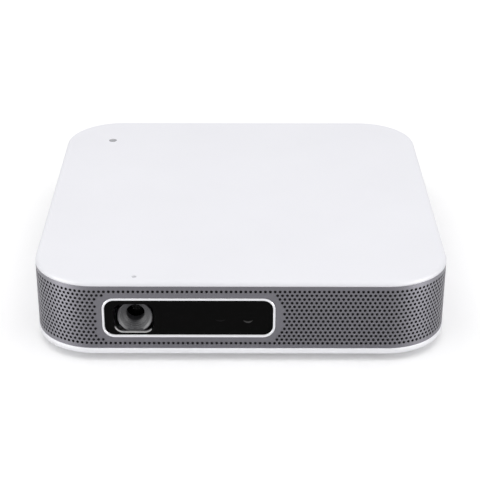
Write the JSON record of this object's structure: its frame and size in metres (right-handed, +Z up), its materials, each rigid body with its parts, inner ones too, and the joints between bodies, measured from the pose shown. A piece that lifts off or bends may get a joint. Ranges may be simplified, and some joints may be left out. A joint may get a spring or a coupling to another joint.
{
  "type": "portable box projector",
  "caption": "Flat square portable projector with a white top cover and base, a grey perforated band, a dark front window with a recessed lens, a rear port panel and a fold-down tilt foot.",
  "frame": {"origin": "centre of the box round the part, on the plane of the rubber feet", "axes": "+Z up through the top cover; the lens looks along -Y; +X to the right as seen from the front"},
  "size_m": [0.1988, 0.1988, 0.0428],
  "materials": {
    "white_cover": "fine matt moulding",
    "white_base": "fine matt moulding",
    "white_bezel": "gloss",
    "band_paint": "satin metallic grey",
    "black_plastic": "matt",
    "dark_acrylic": "polished",
    "hood_grey": "satin",
    "lens_glass": "polished",
    "smoked_window": "polished",
    "light_pipe": "frosted",
    "panel_black": "fine matt moulding",
    "nickel": "nickel plate",
    "socket_black": "matt",
    "button_black": "satin",
    "steel": "zinc plate",
    "foot_rubber": "matt",
    "brass": "turned",
    "foot_plastic": "matt",
    "barrel_black": "matt",
    "carriage_alloy": "anodised",
    "gear_grey": "satin",
    "motor_steel": "drawn steel",
    "board_green": "solder mask",
    "cast_alloy": "die cast",
    "dichroic_glass": "coated",
    "black_alloy": "black anodised",
    "copper": "copper, drawn",
    "fin_alloy": "bright",
    "rotor_grey": "matt",
    "speaker_black": "matt",
    "cone_grey": "pressed pulp"
  },
  "bodies": {
    "housing": {"top_cover": "white_cover", "grille_band": "band_paint", "base_tray": "white_base", "inner_frame": "black_plastic", "window_bezel": "white_bezel", "front_window": "dark_acrylic", "lens_hood": "hood_grey", "front_lens": "lens_glass", "ir_receiver_window": "smoked_window", "status_light_pipe": "light_pipe", "rear_io_panel": "panel_black", "hdmi_socket": "nickel", "usb_a_socket": "nickel", "usb_c_socket": "nickel", "audio_jack": "socket_black", "dc_jack": "socket_black", "power_switch": "socket_black", "rubber_feet": "foot_rubber", "housing_screws": "steel", "tripod_insert": "brass", "tilt_foot_pin": "steel", "lens_barrel": "barrel_black", "rear_lens": "lens_glass", "ring_clip": "steel", "focus_motor": "motor_steel", "motor_bracket": "steel", "sensor_board": "board_green", "engine_housing": "cast_alloy", "engine_lid": "cast_alloy", "light_prism": "lens_glass", "relay_lens": "lens_glass", "dichroic_plates": "dichroic_glass", "dmd_board": "board_green", "dmd_heat_sink": "black_alloy", "red_led_module": "copper", "green_led_module": "copper", "blue_led_module": "copper", "heat_spreaders": "copper", "heat_pipes": "copper", "heat_sink_fins": "fin_alloy", "blower_housing": "black_plastic", "blower_lid": "black_plastic", "main_board": "board_green", "board_shields": "nickel", "board_screws": "steel", "power_board": "board_green", "signal_boards": "board_green", "left_speaker_box": "speaker_black", "right_speaker_box": "speaker_black"},
    "power_button": {"power_button": "button_black", "switch_plunger": "steel"},
    "tilt_foot": {"tilt_foot": "foot_plastic"},
    "blower_rotor": {"blower_rotor": "rotor_grey"},
    "focus_ring": {"focus_ring": "gear_grey"},
    "focus_pinion": {"focus_pinion": "brass"},
    "lens_carriage": {"lens_carriage": "carriage_alloy", "moving_lens": "lens_glass"},
    "left_speaker_cone": {"left_speaker_cone": "cone_grey"},
    "right_speaker_cone": {"right_speaker_cone": "cone_grey"}
  },
  "joints": [
    {"name": "power_button_press", "type": "slide", "parent": "housing", "child": "power_button", "axis": [0, -1, 0], "range_m": [0, 0.0008], "stiffness_N_per_m": 2500},
    {"name": "tilt_foot_fold", "type": "hinge", "parent": "housing", "child": "tilt_foot", "pos_m": [0, -0.084, 0.0031], "axis": [-1, 0, 0], "range_deg": [0, 100]},
    {"name": "blower_spin", "type": "hinge", "parent": "housing", "child": "blower_rotor", "pos_m": [0.042, -0.034, 0.02], "axis": [0, 0, 1], "continuous": true},
    {"name": "focus_ring_turn", "type": "hinge", "parent": "housing", "child": "focus_ring", "pos_m": [-0.0498, -0.066, 0.0224], "axis": [0, 1, 0], "range_deg": [0, 100]},
    {"name": "focus_pinion_spin", "type": "hinge", "parent": "housing", "child": "focus_pinion", "pos_m": [-0.03289, -0.066, 0.01624], "axis": [0, 1, 0], "range_deg": [-400.5, 0.5]},
    {"name": "lens_carriage_slide", "type": "slide", "parent": "housing", "child": "lens_carriage", "axis": [0, 1, 0], "range_m": [0, 0.0024]},
    {"name": "left_cone_travel", "type": "slide", "parent": "housing", "child": "left_speaker_cone", "axis": [-1, 0, 0], "range_m": [-0.0005, 0.0005], "stiffness_N_per_m": 1500},
    {"name": "right_cone_travel", "type": "slide", "parent": "housing", "child": "right_speaker_cone", "axis": [1, 0, 0], "range_m": [-0.0005, 0.0005], "stiffness_N_per_m": 1500}
  ],
  "couplings": [
    {"joint": "focus_pinion_spin", "follows": "lens_carriage_slide", "rad_per_m": -2908.9},
    {"joint": "focus_ring_turn", "follows": "lens_carriage_slide", "rad_per_m": 727.22}
  ]
}
